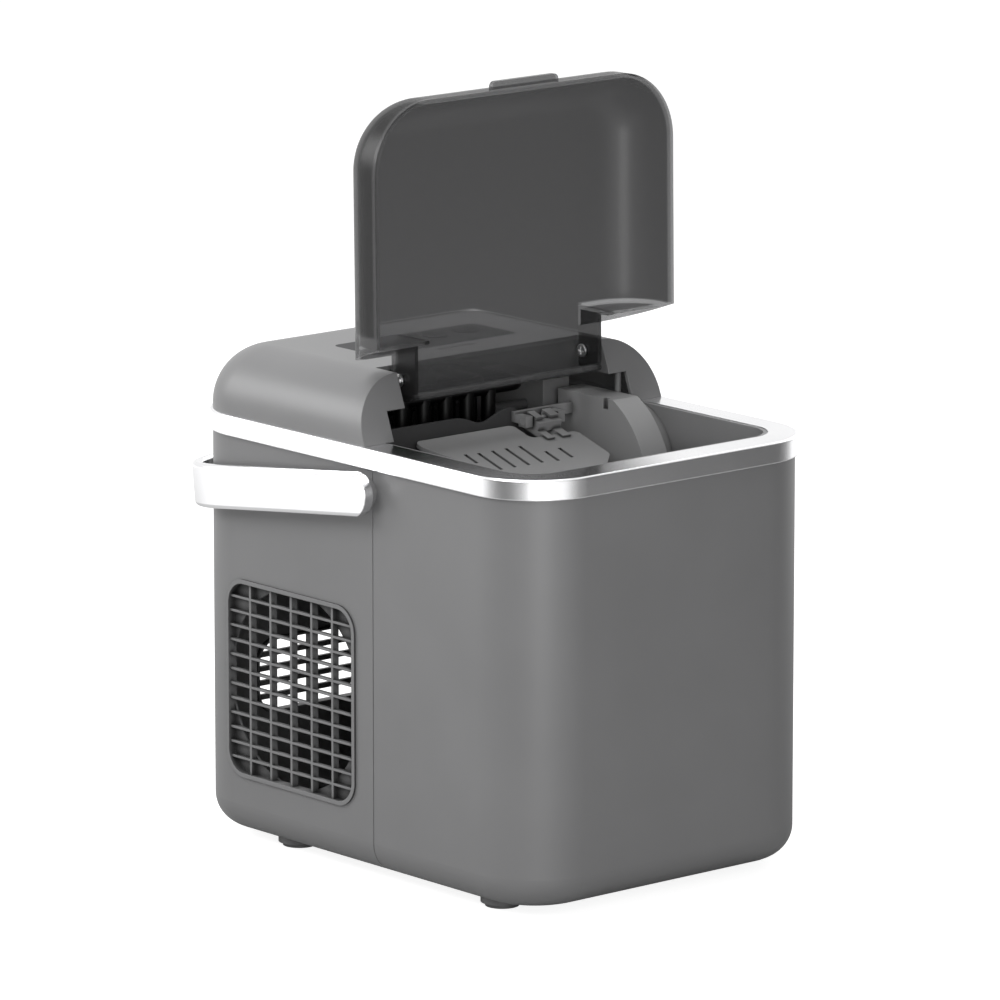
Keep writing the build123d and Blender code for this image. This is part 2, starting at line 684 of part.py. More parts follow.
# Splash guard in front of the tray, with a wavy top edge
guard_y = 18.0
guard_wall = 1.8
guard_low = LINER_SHELF
guard_top = 246.5
guard_left = -88.0
guard_right = 33.0
wave_start = -20.0
wave_end = 236.0
guard_line = [
    Line((guard_left, guard_low), (guard_left, guard_top)),
    Line((guard_left, guard_top), (wave_start, guard_top)),
    Spline(
        (wave_start, guard_top),
        (2, 241.8),
        (20, 247.8),
        (guard_right, wave_end),
        tangents=[(1, 0), (0.35, -1)],
    ),
    Line((guard_right, wave_end), (guard_right, guard_low)),
    Line((guard_right, guard_low), (guard_left, guard_low)),
]
guard_face = make_face(guard_line)
guard_plane = Plane(origin=(0, guard_y + guard_wall, 0), x_dir=(1, 0, 0), z_dir=(0, -1, 0))
write("splash_guard", guard_plane * extrude(guard_face, guard_wall))

# Ice shovel: a slotted plate that hangs on a pin in front of the tray
shovel_thick = 2.4
shovel_outline = [(-52, 13), (20, 13), (20, -4), (53.5, -4), (53.5, -34), (44, -43), (-16, -43), (-36, -24),
                  (-52, 6)]
shovel_slots = [(-33, -20, -9), (-24, -31, -10), (-14, -31, -10), (-4, -31, -10), (6, -31, -10),
                (17, -32, -20), (28, -31, -19)]
slot_width = 2.2
shovel_corner = 4.0
plate_y = SHOVEL_PIN_Y
shovel_face = make_face(Polyline(*[(x, y - plate_y) for x, y in shovel_outline], close=True))
shovel_face = fillet(shovel_face.vertices(), shovel_corner)
shovel = extrude(shovel_face, shovel_thick)
shovel -= [
    block(x - slot_width / 2, x + slot_width / 2, y0 - plate_y, y1 - plate_y, -1, shovel_thick + 1)
    for x, y0, y1 in shovel_slots
]
pin_height = 6.6
leg_places = [(28, 33), (39, 45)]
leg_front = -17.0
leg_top = 3.6
lug_half = 4.0
lug_top = pin_height + 3.6
bridge_front = -7.5
bridge_top = pin_height + 1.6
for x0, x1 in leg_places:
    shovel += block(x0, x1, leg_front, lug_half, 0, leg_top)
    shovel += block(x0, x1, -lug_half, lug_half, 0, lug_top)
shovel += block(leg_places[0][0], leg_places[1][1], bridge_front, -lug_half + 1, leg_top - 1, bridge_top)
shovel -= rod(leg_places[0][0] - 1, far, 0, pin_height, SHOVEL_PIN_RADIUS + RUN_CLEAR)
shovel = Pos(0, 0, -pin_height) * shovel
shovel = Pos(0, SHOVEL_PIN_Y, SHOVEL_PIN_Z) * Rot(SHOVEL_TILT_DEG, 0, 0) * shovel
write("ice_shovel", shovel)
write("shovel_pin", rod(pin_left, pin_right, SHOVEL_PIN_Y, SHOVEL_PIN_Z, SHOVEL_PIN_RADIUS))

# Ice basket: a lift-out bucket with drip holes in its floor
basket_half_w = 78.0
basket_front = -124.0
basket_back = -52.0
basket_low = LINER_FLOOR + 0.4
basket_top = 165.0
basket_wall = 2.0
basket_corner = 14.0
basket_floor = basket_low + 12
basket_foot = 8.0
basket = rounded_block(basket_half_w, basket_front, basket_back, basket_corner, basket_low, basket_top)
basket -= rounded_block(
    basket_half_w - basket_wall,
    basket_front + basket_wall,
    basket_back - basket_wall,
    basket_corner - basket_wall,
    basket_floor,
    far,
)
basket -= rounded_block(
    basket_half_w - basket_foot,
    basket_front + basket_foot,
    basket_back - basket_foot,
    basket_foot,
    0,
    basket_floor - basket_wall,
)
drip_radius = 2.5
drip_pitch = 24.0
drip_holes = [
    post(drip_pitch * index, (basket_front + basket_back) / 2, 0, far, drip_radius) for index in range(-2, 3)
]
basket -= drip_holes
write("ice_basket", basket)


# Cold system and air flow in the machine space
def turned(points, x, y):
    """A round piece about an upright line at x, y, from its (radius, height) outline."""
    outline = make_face(Polyline(*[(r, z) for r, z in points], close=True))
    return Pos(x, y, 0) * revolve(Plane.XZ * outline, Axis.Z)


compressor_x = 28.0
compressor_y = 74.0
compressor = turned(
    [(0, 20), (26, 20), (38, 30), (40, 40), (40, 74), (42.5, 74), (42.5, 79), (40, 79), (40, 112),
     (34, 126), (20, 133), (0, 135)],
    compressor_x,
    compressor_y,
)
strap_low = 16.5
strap_top = 21.0
strap_half_w = 8.0
strap_reach = 36.0
mount_x = 30.0
mount_radius = 7.0
strap_places = (compressor_y - 22.0, compressor_y + 22.0)
compressor += [
    Pos(compressor_x, 0, 0)
    * block(-strap_reach, strap_reach, y - strap_half_w, y + strap_half_w, strap_low, strap_top)
    for y in strap_places
]
compressor_pads = [
    post(x, y, BASE_TOP, strap_low, mount_radius)
    for x in (compressor_x - mount_x, compressor_x + mount_x)
    for y in strap_places
]
write("compressor", compressor)
write("compressor_mounts", compressor_pads[0] + compressor_pads[1:])

condenser_x0 = 72.0
condenser_x1 = 84.0
condenser_half_d = 44.0
condenser_half_h = 46.0
fin_count = 20
fin_pitch = 4.0
fin_gap = 2.6
fin_back = 4.0
fin_margin = 3.0
fin_start = VENT_Y - fin_pitch * fin_count / 2
condenser = block(
    condenser_x0,
    condenser_x1,
    VENT_Y - condenser_half_d,
    VENT_Y + condenser_half_d,
    VENT_Z - condenser_half_h,
    VENT_Z + condenser_half_h,
)
condenser -= [
    block(
        condenser_x0 - 1,
        condenser_x1 - fin_back,
        y,
        y + fin_gap,
        VENT_Z - condenser_half_h + fin_margin,
        VENT_Z + condenser_half_h - fin_margin,
    )
    for y in [fin_start + fin_pitch * index for index in range(fin_count)]
]
write("condenser", condenser)

fan_radius = 46.0
fan_clear = 3.0
shroud_thick = 3.0
shroud_side = 108.0
spoke_half_w = 3.0
hub_radius = 14.0
axle_radius = 1.5
shroud_x1 = condenser_x1 + shroud_thick
motor_x1 = shroud_x1 + 4.0
fan_x0 = motor_x1 + 1.0
fan_x1 = fan_x0 + 8.0
axle_x1 = fan_x1 - 2.0
fan_line = Axis((0, VENT_Y, VENT_Z), (1, 0, 0))
shroud = Pos((condenser_x1 + shroud_x1) / 2, VENT_Y, VENT_Z) * Box(shroud_thick, shroud_side, shroud_side)
shroud -= rod(condenser_x1 - 1, shroud_x1 + 1, VENT_Y, VENT_Z, fan_radius + fan_clear)
spoke = block(
    condenser_x1,
    shroud_x1,
    VENT_Y - spoke_half_w,
    VENT_Y + spoke_half_w,
    VENT_Z,
    VENT_Z + fan_radius + 2 * fan_clear,
)
shroud += [spoke.rotate(fan_line, turn) for turn in (0, 120, 240)]
shroud += rod(condenser_x1, shroud_x1, VENT_Y, VENT_Z, hub_radius)
write("fan_shroud", shroud)
fan_motor = rod(shroud_x1, motor_x1, VENT_Y, VENT_Z, hub_radius - 1)
fan_motor += rod(motor_x1, axle_x1, VENT_Y, VENT_Z, axle_radius)
write("fan_motor", fan_motor)
blade_count = 7
blade_thick = 1.8
blade_width = 15.0
blade_pitch_deg = 28.0
blade_root = hub_radius - 2
blade_length = fan_radius - blade_root
blade = Pos((fan_x0 + fan_x1) / 2, VENT_Y, VENT_Z + blade_root + blade_length / 2)
blade = blade * Rot(0, 0, blade_pitch_deg) * Box(blade_thick, blade_width, blade_length)
fan = rod(fan_x0, fan_x1, VENT_Y, VENT_Z, hub_radius)
fan += [blade.rotate(fan_line, 360 / blade_count * index) for index in range(blade_count)]
fan -= rod(fan_x0 - 1, axle_x1, VENT_Y, VENT_Z, axle_radius + RUN_CLEAR)
write("fan_blades", fan)

pump_x = -56.0
pump_top = 52.0
pump_half_w = 20.0
pump_depth = 34.0
pump_corner = 6.0
outlet_top = pump_top + 8
outlet_radius = 4.0
hose_radius = 3.6
water_pump = rounded_block(pump_half_w, 0, pump_depth, pump_corner, BASE_TOP, pump_top)
water_pump += post(0, pump_depth / 2, pump_top, outlet_top, outlet_radius)
write("water_pump", Pos(pump_x, 0, 0) * water_pump)
hose_bend = 12.0
hose_back = 108.0
hose_turn_z = 152.0
hose_top = 262.0
hose_path = FilletPolyline(
    (pump_x, pump_depth / 2, outlet_top),
    (pump_x, pump_depth / 2, hose_turn_z),
    (pump_x, hose_back, hose_turn_z),
    (pump_x, hose_back, hose_top),
    (pump_x, hose_back - 2 * hose_bend, hose_top),
    radius=hose_bend,
)
hose_start = Plane(origin=hose_path @ 0, z_dir=hose_path % 0)
write("water_hose", sweep(hose_start * Circle(hose_radius), path=hose_path))


# Cord gland in the back wall
def gland_ring(radius, y0, y1):
    """A round bar along Y on the gland's line."""
    return Pos(GLAND_X, (y0 + y1) / 2, GLAND_Z) * Rot(90, 0, 0) * Cylinder(radius, y1 - y0)


gland_lip = 3.0
gland_half = 4.0
gland_bore = 3.6
gland = gland_ring(GLAND_RADIUS - 0.1, HALF_D - gland_half, HALF_D + gland_half)
gland += gland_ring(GLAND_RADIUS + gland_lip, HALF_D, HALF_D + gland_lip)
gland -= gland_ring(gland_bore, 0, far)
write("cord_gland", gland)
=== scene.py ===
import math

import bpy
import numpy as np
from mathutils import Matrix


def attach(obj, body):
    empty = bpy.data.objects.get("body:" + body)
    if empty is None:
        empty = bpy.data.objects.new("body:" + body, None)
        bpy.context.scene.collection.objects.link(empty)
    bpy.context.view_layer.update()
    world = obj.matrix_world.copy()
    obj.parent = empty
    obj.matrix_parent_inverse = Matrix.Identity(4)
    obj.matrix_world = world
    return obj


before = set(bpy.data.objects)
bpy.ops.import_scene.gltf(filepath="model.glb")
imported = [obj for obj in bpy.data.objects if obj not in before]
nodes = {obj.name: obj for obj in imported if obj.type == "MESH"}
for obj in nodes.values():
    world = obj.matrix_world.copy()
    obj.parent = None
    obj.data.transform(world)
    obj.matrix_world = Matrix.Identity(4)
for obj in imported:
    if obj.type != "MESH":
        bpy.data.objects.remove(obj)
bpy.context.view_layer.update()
scene = bpy.context.scene
scene.view_settings.view_transform = "Standard"


# Sky: the white backdrop of a photo studio, all round the object.
# It is white to the eye, through the lid and in reflections, and dimmer as a light,
# so that the greys of the housing keep their own depth.
SKY_LIGHT = 0.28
SKY_SEEN = 1.0
WHITE = (1.0, 1.0, 1.0, 1.0)


def feed(tree, socket, value):
    """Sets a socket to a plain value, or links it to the socket that is given."""
    if isinstance(value, bpy.types.NodeSocket):
        tree.links.new(value, socket)
    else:
        socket.default_value = value


def math_node(tree, operation, *values):
    """One Math node on up to three values, each a number or a socket; returns its result."""
    node = tree.nodes.new("ShaderNodeMath")
    node.operation = operation
    for socket, value in zip(node.inputs, values):
        feed(tree, socket, value)
    return node.outputs[0]


world = bpy.data.worlds.new("studio_sky")
world.use_nodes = True
scene.world = world
sky_tree = world.node_tree
sky_tree.nodes.clear()
sky_out = sky_tree.nodes.new("ShaderNodeOutputWorld")
sky = sky_tree.nodes.new("ShaderNodeBackground")
sky.inputs["Color"].default_value = WHITE
sky_ray = sky_tree.nodes.new("ShaderNodeLightPath").outputs
sky_to_eye = math_node(sky_tree, "MAXIMUM", sky_ray["Is Camera Ray"], sky_ray["Is Transmission Ray"])
sky_shown = math_node(sky_tree, "MAXIMUM", sky_to_eye, sky_ray["Is Glossy Ray"])
sky_strength = math_node(sky_tree, "MULTIPLY_ADD", sky_shown, SKY_SEEN - SKY_LIGHT, SKY_LIGHT)
feed(sky_tree, sky.inputs["Strength"], sky_strength)
feed(sky_tree, sky_out.inputs["Surface"], sky.outputs[0])


# Floor: the pale matt sweep that the machine stands on, with its shadow.
# In reflections its glow fades towards the machine, a painted shade of the machine's
# shadow, so that the plating has a dark part to set off its bright one.
FLOOR_HALF = 30.0
FLOOR_GREY = (0.5, 0.5, 0.5, 1.0)
FLOOR_ROUGHNESS = 0.9
FLOOR_GLOW = 0.88
MIRROR_NEAR = 0.7
MIRROR_FAR = 1.3


def surface(name):
    """A new material with one Principled shader; returns the material and the shader."""
    material = bpy.data.materials.new(name)
    material.use_nodes = True
    return material, material.node_tree.nodes["Principled BSDF"]


def mesh_object(name, vertices, faces):
    """A new mesh piece at the origin, with flat faces, from an array of points and a list of faces."""
    mesh = bpy.data.meshes.new(name)
    mesh.from_pydata(np.asarray(vertices, float).tolist(), [], faces)
    mesh.update()
    piece = bpy.data.objects.new(name, mesh)
    scene.collection.objects.link(piece)
    return piece


def ramp(tree, value, low, high, smooth=False, start=0.0, end=1.0):
    """Goes from start to end as a value goes from low to high, and no further."""
    node = tree.nodes.new("ShaderNodeMapRange")
    node.interpolation_type = "SMOOTHSTEP" if smooth else "LINEAR"
    node.inputs["From Min"].default_value = low
    node.inputs["From Max"].default_value = high
    node.inputs["To Min"].default_value = start
    node.inputs["To Max"].default_value = end
    feed(tree, node.inputs["Value"], value)
    return node.outputs["Result"]


floor_corners = FLOOR_HALF * np.array(((-1, -1, 0), (1, -1, 0), (1, 1, 0), (-1, 1, 0)))
floor = mesh_object("floor", floor_corners, [(0, 1, 2, 3)])
floor_paint, floor_shader = surface("floor_paint")
floor_shader.inputs["Base Color"].default_value = FLOOR_GREY
floor_shader.inputs["Roughness"].default_value = FLOOR_ROUGHNESS
floor_shader.inputs["Specular IOR Level"].default_value = 0.0
floor_shader.inputs["Emission Color"].default_value = WHITE
floor_tree = floor_paint.node_tree
floor_ray = floor_tree.nodes.new("ShaderNodeLightPath").outputs
floor_reach = floor_tree.nodes.new("ShaderNodeVectorMath")
floor_reach.operation = "LENGTH"
feed(floor_tree, floor_reach.inputs[0], floor_tree.nodes.new("ShaderNodeTexCoord").outputs["Object"])
# Painted shade: the glow seen in reflections fades out near the machine.
floor_shade = ramp(floor_tree, floor_reach.outputs["Value"], MIRROR_NEAR, MIRROR_FAR)
floor_mirror = math_node(floor_tree, "MULTIPLY", floor_ray["Is Glossy Ray"], floor_shade)
floor_past_lid = math_node(floor_tree, "MAXIMUM", floor_ray["Is Transmission Ray"], floor_mirror)
floor_shown = math_node(floor_tree, "MAXIMUM", floor_ray["Is Camera Ray"], floor_past_lid)
floor_strength = math_node(floor_tree, "MULTIPLY", floor_shown, FLOOR_GLOW)
feed(floor_tree, floor_shader.inputs["Emission Strength"], floor_strength)
floor.data.materials.append(floor_paint)


# Soft boxes: five lamps round the machine, which the lens doesn't see.
# The top and left boxes carry the light, the rear and right ones fill in, and the
# narrow front box lights the rounded front corner.
LAMP_AIM = (0.0, 0.0, 0.2)
FRONT_AIM = (0.0, 0.0, 0.3)


def lamp(name, place, size, power, aim=LAMP_AIM):
    """A soft box at a place, turned to face an aim point; size in metres, power in watts."""
    light = bpy.data.lights.new(name, "AREA")
    light.shape = "RECTANGLE"
    light.size, light.size_y = size
    light.energy = power
    holder = bpy.data.objects.new(name, light)
    holder.location = place
    away = np.asarray(place, float) - np.asarray(aim, float)
    yaw = math.atan2(away[1], away[0]) + math.pi / 2
    pitch = math.acos(away[2] / np.linalg.norm(away))
    holder.rotation_euler = (pitch, 0.0, yaw)
    holder.visible_camera = False
    scene.collection.objects.link(holder)


lamp("top_box", place=(-0.1, 0.2, 1.9), size=(1.4, 1.4), power=18.0)
lamp("left_box", place=(-1.5, -0.1, 1.5), size=(1.2, 1.2), power=17.5)
lamp("rear_left_box", place=(-1.05, 1.38, 0.95), size=(0.8, 0.8), power=11.0)
lamp("right_box", place=(1.6, 0.5, 1.0), size=(1.0, 1.0), power=6.0)
lamp("front_box", place=(-0.7, -1.18, 0.5), size=(0.5, 0.9), power=8.0, aim=FRONT_AIM)


# Cards: two matt grey cards that stand on the floor, out of the lens's sight.
# The plating mirrors them as the darker parts of its front and its left corner.
# Their ends thin out, so that the mirrored edge is soft.
CARD_STRIPS = 40


def card(name, angle, distance, width, height, grey):
    """A card at an angle counted from the left towards the front, about the middle of the floor.

    It runs along s from -1 to 1, and its body there is 1 - s^2.
    """
    turn = math.radians(angle)
    out = np.array((-math.cos(turn), -math.sin(turn), 0.0))
    along = np.array((out[1], -out[0], 0.0)) * width / 2
    share = np.linspace(-1.0, 1.0, CARD_STRIPS + 1)
    low = out * distance + share[:, None] * along
    high = low + np.array((0.0, 0.0, height))
    first = np.arange(CARD_STRIPS)
    strips = np.stack((first, first + 1, first + 1 + len(share), first + len(share)), 1)
    board = mesh_object(name, np.vstack((low, high)), strips.tolist())
    body = board.data.attributes.new("card_body", "FLOAT", "POINT")
    body.data.foreach_set("value", np.tile(1.0 - share ** 2, 2))
    paint, shader = surface(name + "_paint")
    thin = paint.node_tree.nodes.new("ShaderNodeAttribute")
    thin.attribute_name = "card_body"
    feed(paint.node_tree, shader.inputs["Alpha"], thin.outputs["Fac"])
    shader.inputs["Base Color"].default_value = (grey, grey, grey, 1.0)
    shader.inputs["Roughness"].default_value = 1.0
    shader.inputs["Specular IOR Level"].default_value = 0.0
    board.data.materials.append(paint)
    board.visible_camera = False
    board.visible_transmission = False


card("right_flag", angle=130.0, distance=0.9, width=1.5, height=0.9, grey=0.15)
card("left_flag", angle=10.0, distance=1.0, width=1.5, height=0.35, grey=0.2)


# Camera: the photograph's long lens, from the front left and a little above.
# The place, aim and lens come from a fit to the edges of the housing and the ring.
CAMERA_PLACE = (-2.90297, -3.38939, 1.1493)
CAMERA_AZIMUTH = -40.62
CAMERA_ELEVATION = 11.636
LENS_MM = 293.15
SENSOR_MM = 36.0
LENS_SHIFT_X = -0.0017
LENS_SHIFT_Y = -0.0536
CLIP_END = 100.0

eye = bpy.data.cameras.new("photo_eye")
eye.lens = LENS_MM
eye.sensor_width = SENSOR_MM
eye.shift_x = LENS_SHIFT_X
eye.shift_y = LENS_SHIFT_Y
eye.clip_end = CLIP_END
camera = bpy.data.objects.new("photo_eye", eye)
camera.location = CAMERA_PLACE
camera.rotation_euler = (math.radians(90.0 - CAMERA_ELEVATION), 0.0, math.radians(CAMERA_AZIMUTH))
scene.collection.objects.link(camera)
scene.camera = camera


# Housing: the front and rear shells, the top cover, the handle's pivots and the feet.
# They are moulded in one satin grey plastic with a very fine spark-eroded grain, and the
# two shells lap at the seam on the sides. The grain is a group that every moulding shares.
HOUSING_GREY = (0.166, 0.166, 0.168)
GRAIN_SCALE = 1400.0
GRAIN_DETAIL = 3.0
CLOUD_SCALE = 18.0
CLOUD_DETAIL = 2.0
CLOUD_LOW = 0.97
CLOUD_HIGH = 1.03
NOISE_LOW = 0.3
NOISE_HIGH = 0.7
MOULDED_EDGE = 0.0006
MOULDED_RELIEF = 0.0002
EDGE_SAMPLES = 6


def shader_group(name, takes, gives):
    """A shader group with named sockets; returns it, the sockets it takes and those it gives."""
    group = bpy.data.node_groups.new(name, "ShaderNodeTree")
    for direction, sockets in (("INPUT", takes), ("OUTPUT", gives)):
        for socket_name, kind in sockets.items():
            group.interface.new_socket(
                name=socket_name, in_out=direction, socket_type=f"NodeSocket{kind}"
            )
    taken = group.nodes.new("NodeGroupInput").outputs
    given = group.nodes.new("NodeGroupOutput").inputs
    return group, taken, given


def place_group(tree, group, values):
    """Puts a shader group into a material, with a plain value or a socket for each input."""
    node = tree.nodes.new("ShaderNodeGroup")
    node.node_tree = group
    node.name = group.name
    for socket_name, value in values.items():
        feed(tree, node.inputs[socket_name], value)
    return node


def blend(tree, share, first, second, kind="MIX"):
    """A colour between two others, by a share from 0 to 1; returns its socket.

    Sockets 0, 6 and 7 of a colour Mix node take the share and the two colours, and 2 gives the result.
    """
    node = tree.nodes.new("ShaderNodeMix")
    node.data_type = "RGBA"
    node.blend_type = kind
    for place, value in ((0, share), (6, first), (7, second)):
        feed(tree, node.inputs[place], value)
    return node.outputs[2]


grain_group, grain_takes, grain_gives = shader_group(
    "moulded_grain",
    takes={"Scale": "Float", "Tone": "Color", "Roughness": "Float"},
    gives={"Color": "Color", "Roughness": "Float", "Height": "Float"},
)
grain_place = grain_group.nodes.new("ShaderNodeTexCoord").outputs["Object"]
grain_noise = grain_group.nodes.new("ShaderNodeTexNoise")
grain_noise.inputs["Detail"].default_value = GRAIN_DETAIL
feed(grain_group, grain_noise.inputs["Vector"], grain_place)
feed(grain_group, grain_noise.inputs["Scale"], grain_takes["Scale"])
cloud_noise = grain_group.nodes.new("ShaderNodeTexNoise")
cloud_noise.inputs["Scale"].default_value = CLOUD_SCALE
cloud_noise.inputs["Detail"].default_value = CLOUD_DETAIL
feed(grain_group, cloud_noise.inputs["Vector"], grain_place)
cloud = ramp(
    grain_group, cloud_noise.outputs["Fac"], NOISE_LOW, NOISE_HIGH, start=CLOUD_LOW, end=CLOUD_HIGH
)
clouded_tone = blend(grain_group, 1.0, grain_takes["Tone"], cloud, kind="MULTIPLY")
clouded_roughness = math_node(grain_group, "MULTIPLY", grain_takes["Roughness"], cloud)
feed(grain_group, grain_gives["Color"], clouded_tone)
feed(grain_group, grain_gives["Roughness"], clouded_roughness)
feed(grain_group, grain_gives["Height"], grain_noise.outputs["Fac"])


def soft_edge(tree, radius):
    """A normal that rounds the sharp edges of a piece by a small radius."""
    edge = tree.nodes.new("ShaderNodeBevel")
    edge.samples = EDGE_SAMPLES
    edge.inputs["Radius"].default_value = radius
    return edge.outputs[0]


def moulded(name, tone, roughness, bump=0.04, specular=0.5):
    """Moulded plastic of one tone, with the grain group for its colour, sheen and relief."""
    material, shader = surface(name)
    tree = material.node_tree
    values = {"Scale": GRAIN_SCALE, "Tone": (*tone, 1.0), "Roughness": roughness}
    grain = place_group(tree, grain_group, values)
    relief = tree.nodes.new("ShaderNodeBump")
    relief.inputs["Strength"].default_value = bump
    relief.inputs["Distance"].default_value = MOULDED_RELIEF
    feed(tree, relief.inputs["Height"], grain.outputs["Height"])
    feed(tree, relief.inputs["Normal"], soft_edge(tree, MOULDED_EDGE))
    feed(tree, shader.inputs["Base Color"], grain.outputs["Color"])
    feed(tree, shader.inputs["Roughness"], grain.outputs["Roughness"])
    feed(tree, shader.inputs["Normal"], relief.outputs[0])
    shader.inputs["Specular IOR Level"].default_value = specular
    return material


def wear(material, *names):
    """Gives one material to CAD nodes, in place of all their slots."""
    for name in names:
        mesh = nodes[name].data
        mesh.materials.clear()
        mesh.materials.append(material)


housing_grey = moulded("housing_grey", HOUSING_GREY, roughness=0.4)
wear(housing_grey, "front_shell", "rear_shell", "top_cover", "handle_pivots", "feet")


# Trim ring and carry handle: the ring is a hollow frame on top of the shells, and the
# handle is a bent strip that turns on two pivots. Both are plated, bright and a little
# soft from the plating.
CHROME_TONE = (0.87, 0.87, 0.88)
PLATING_SCALE = 300.0
PLATED_EDGE = 0.0008


def plated(name, tone, roughness):
    """A metal finish with a faint cloud in its polish."""
    material, shader = surface(name)
    tree = material.node_tree
    values = {"Scale": PLATING_SCALE, "Tone": (*tone, 1.0), "Roughness": roughness}
    grain = place_group(tree, grain_group, values)
    feed(tree, shader.inputs["Base Color"], grain.outputs["Color"])
    feed(tree, shader.inputs["Roughness"], grain.outputs["Roughness"])
    feed(tree, shader.inputs["Normal"], soft_edge(tree, PLATED_EDGE))
    shader.inputs["Metallic"].default_value = 1.0
    return material


wear(plated("bright_chrome", CHROME_TONE, roughness=0.2), "trim_ring", "handle")


# Grilles: inserts of thin crossed bars, set in openings on the left, right and back of
# the rear shell. They are moulded in a grey close to the housing's, and the depths between
# the bars are darkened with painted shade.
GRILLE_GREY = (0.18, 0.18, 0.182)
GRILLE_REACH = 0.008
NOOK_SHADE_TONE = (0.004, 0.004, 0.004, 1.0)
NOOK_SHADE_SAMPLES = 8

# Painted shade: an occlusion test darkens a tone towards near black in slots, nooks and inner corners.
nook_shade_group, nook_shade_takes, nook_shade_gives = shader_group(
    "slot_painted_shade",
    takes={"Tone": "Color", "Reach": "Float", "Power": "Float"},
    gives={"Tone": "Color"},
)
nook_occlusion = nook_shade_group.nodes.new("ShaderNodeAmbientOcclusion")
nook_occlusion.samples = NOOK_SHADE_SAMPLES
feed(nook_shade_group, nook_occlusion.inputs["Distance"], nook_shade_takes["Reach"])
nook_lit_share = math_node(nook_shade_group, "POWER", nook_occlusion.outputs["AO"], nook_shade_takes["Power"])
nook_shaded_tone = blend(nook_shade_group, nook_lit_share, NOOK_SHADE_TONE, nook_shade_takes["Tone"])
feed(nook_shade_group, nook_shade_gives["Tone"], nook_shaded_tone)


def shaded_in_nooks(name, tone, reach, power):
    """Moulded plastic whose narrow slots and inner corners are darkened with painted shade."""
    material = moulded(name, tone, roughness=0.5, specular=0.3)
    tree = material.node_tree
    values = {"Tone": (*tone, 1.0), "Reach": reach, "Power": power}
    nook_shade_node = place_group(tree, nook_shade_group, values)
    feed(tree, tree.nodes[grain_group.name].inputs["Tone"], nook_shade_node.outputs["Tone"])
    return material


grille_grey = shaded_in_nooks("grille_grey", GRILLE_GREY, reach=GRILLE_REACH, power=2.5)
wear(grille_grey, "left_grille", "right_grille", "rear_grille")


# Inner liner: the moulding that forms the ice bin and the shelf behind it.
# Its satin grey deepens towards the bottom of the bin as painted shade.
LINER_GREY = (0.19, 0.19, 0.192)
LINER_SHADE_GREY = (0.02, 0.02, 0.021)
LINER_LIT_Z = 0.236
LINER_SHADE_Z = 0.2


def object_axes(tree):
    """The X, Y and Z sockets of a piece's own place."""
    place = tree.nodes.new("ShaderNodeTexCoord").outputs["Object"]
    axes = tree.nodes.new("ShaderNodeSeparateXYZ")
    feed(tree, axes.inputs[0], place)
    return axes.outputs["X"], axes.outputs["Y"], axes.outputs["Z"]


liner_grey = moulded("liner_grey", LINER_GREY, roughness=0.5)
liner_tree = liner_grey.node_tree
liner_z = object_axes(liner_tree)[2]
# Painted shade: the tone darkens towards the bin's bottom, below the lit height.
liner_lit_share = ramp(liner_tree, liner_z, LINER_SHADE_Z, LINER_LIT_Z, smooth=True)
liner_tone = blend(liner_tree, liner_lit_share, (*LINER_SHADE_GREY, 1.0), (*LINER_GREY, 1.0))
feed(liner_tree, liner_tree.nodes[grain_group.name].inputs["Tone"], liner_tone)
wear(liner_grey, "inner_liner")


# Ice shovel and drive housing: pale satin mouldings at the back of the ice bin.
# The shovel swings on a pin in the drive housing's bracket, and painted shade darkens
# its narrow slots and the bracket's corners.
SHOVEL_GREY = (0.29, 0.29, 0.292)
SHOVEL_REACH = 0.0028
DRIVE_GREY = (0.28, 0.28, 0.282)
DRIVE_REACH = 0.006

wear(shaded_in_nooks("shovel_grey", SHOVEL_GREY, reach=SHOVEL_REACH, power=3.0), "ice_shovel", "shovel_pin")
wear(shaded_in_nooks("drive_grey", DRIVE_GREY, reach=DRIVE_REACH, power=1.5), "drive_housing")


# Ice works: the water tray with its bearing and gear motor, the splash guard before it
# and the loose ice basket are satin mouldings, the tray and the guard darker than the
# rest. The evaporator, whose fingers dip into the tray, is plated metal toned very dark,
# a painted shade for the shadow it stands in under the cover.
CHAMBER_GREY = (0.2, 0.2, 0.202)
GUARD_GREY = (0.05, 0.05, 0.051)
TRAY_GREY = (0.07, 0.07, 0.071)
EVAPORATOR_SHADED_TONE = (0.04, 0.04, 0.04)

wear(moulded("chamber_grey", CHAMBER_GREY, roughness=0.5), "tray_bearing", "ice_basket", "tray_motor")
wear(moulded("guard_grey", GUARD_GREY, roughness=0.5), "splash_guard")
wear(moulded("tray_grey", TRAY_GREY, roughness=0.5), "water_tray")
# Painted shade: the evaporator's plating is toned nearly black.
wear(plated("evaporator_plate", EVAPORATOR_SHADED_TONE, roughness=0.35), "evaporator")


# Lid pins and base plate: plain steel. The turned pins, with a cross recess in their
# heads, hold the lid's ears, and the plate lies in the bottom of the housing.
STEEL_TONE = (0.5, 0.5, 0.5)

wear(plated("pin_steel", STEEL_TONE, roughness=0.3), "lid_pins", "base_plate")


# Control panel: a dark satin overlay set flush in the top cover, with four moulded keys
# in its holes. The lacquered control board with the keys' switches is fixed under it.
PANEL_TONE = (0.085, 0.085, 0.087)
BOARD_GREEN = (0.03, 0.14, 0.06)

panel_dark = moulded("panel_dark", PANEL_TONE, roughness=0.6, bump=0.02, specular=0.02)
wear(panel_dark, "control_panel", "key_1", "key_2", "key_3", "key_4")
wear(moulded("board_green", BOARD_GREEN, roughness=0.5), "control_board")


